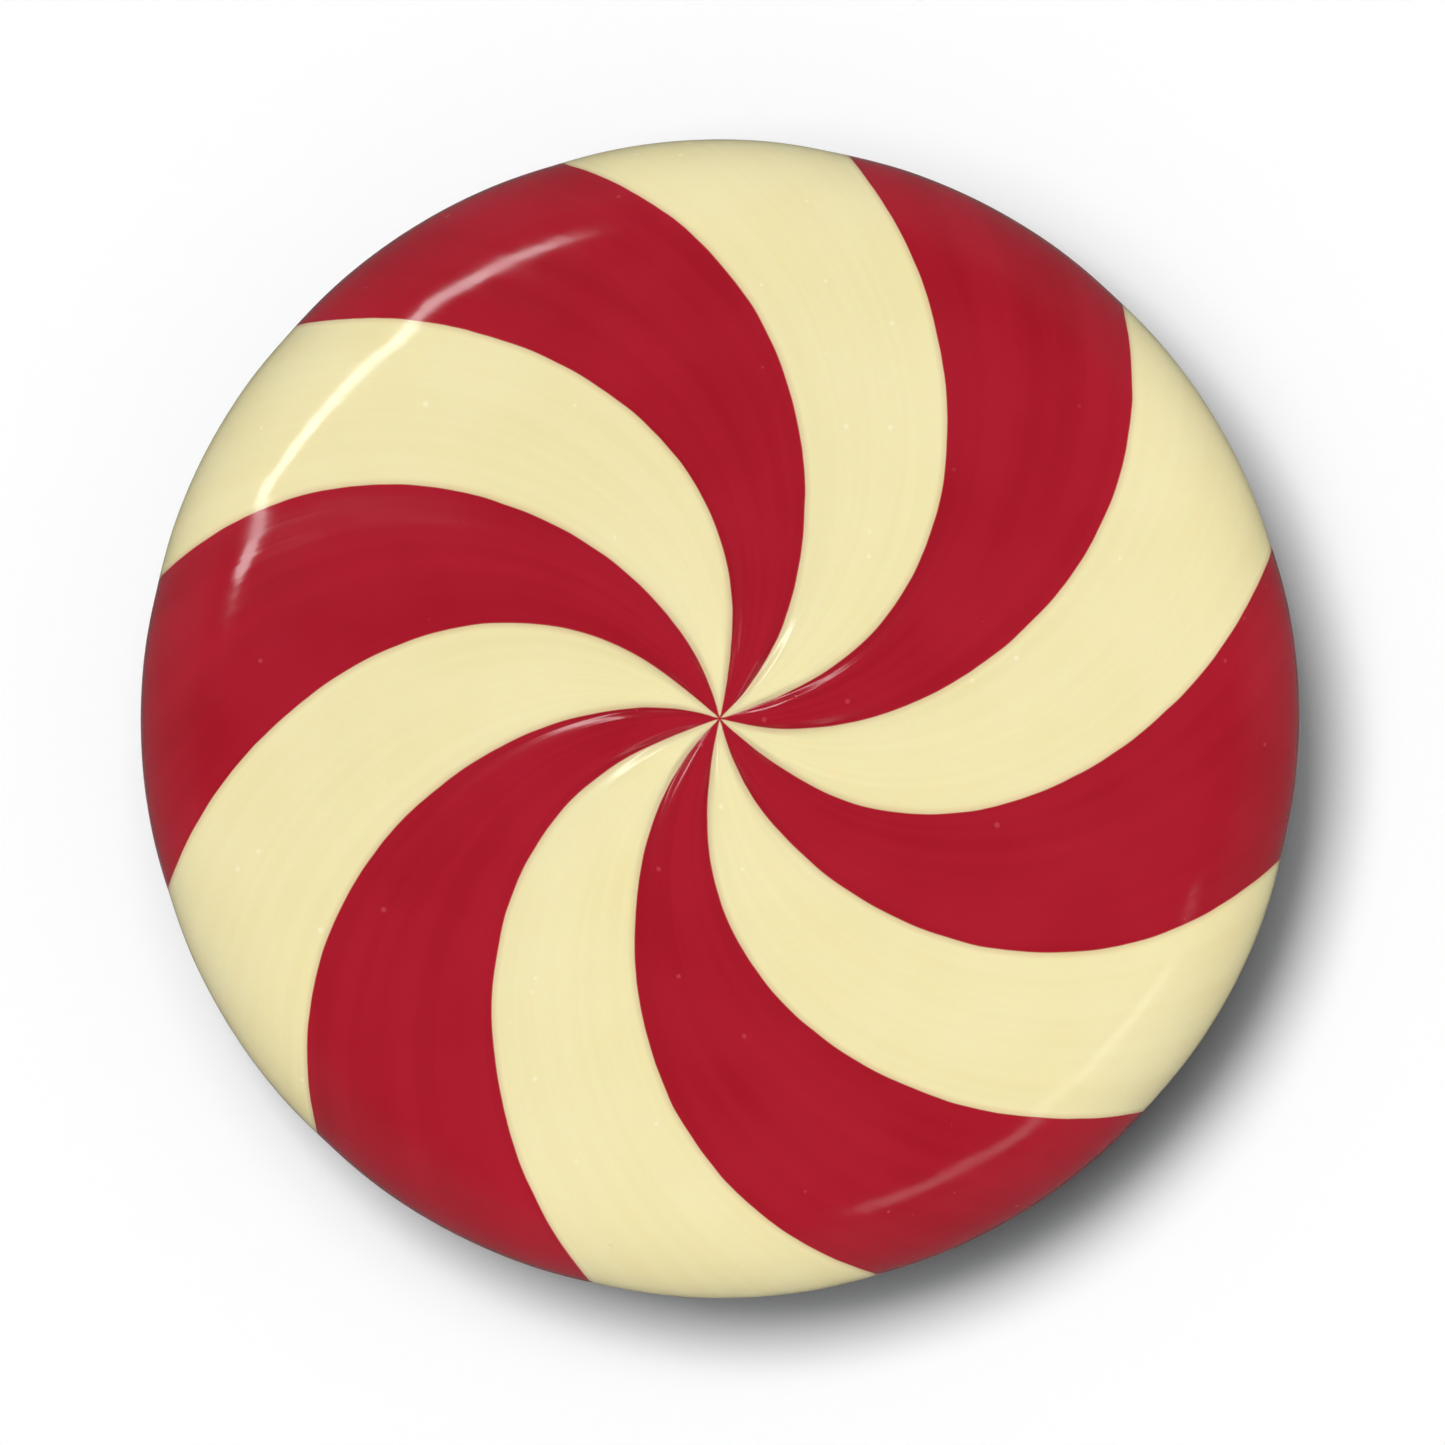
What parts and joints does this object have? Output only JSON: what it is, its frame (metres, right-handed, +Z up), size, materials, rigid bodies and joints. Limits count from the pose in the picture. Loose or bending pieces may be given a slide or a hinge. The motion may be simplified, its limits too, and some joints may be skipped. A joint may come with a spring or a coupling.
{
  "type": "peppermint candy",
  "caption": "Round hard peppermint candy with red and cream stripes that swirl out from a pinched centre over a domed face and a rounded rim.",
  "frame": {"origin": "centre of the seat on the underside, on the candy's axis, where it rests on a surface", "axes": "+Z up along the candy's axis, out of its shown face; +X to the right and +Y to the top of the swirl as seen from above"},
  "size_m": [0.025, 0.025, 0.0098],
  "materials": {
    "sugar": "gloss"
  },
  "bodies": {
    "root": {"candy": "sugar"}
  },
  "joints": []
}
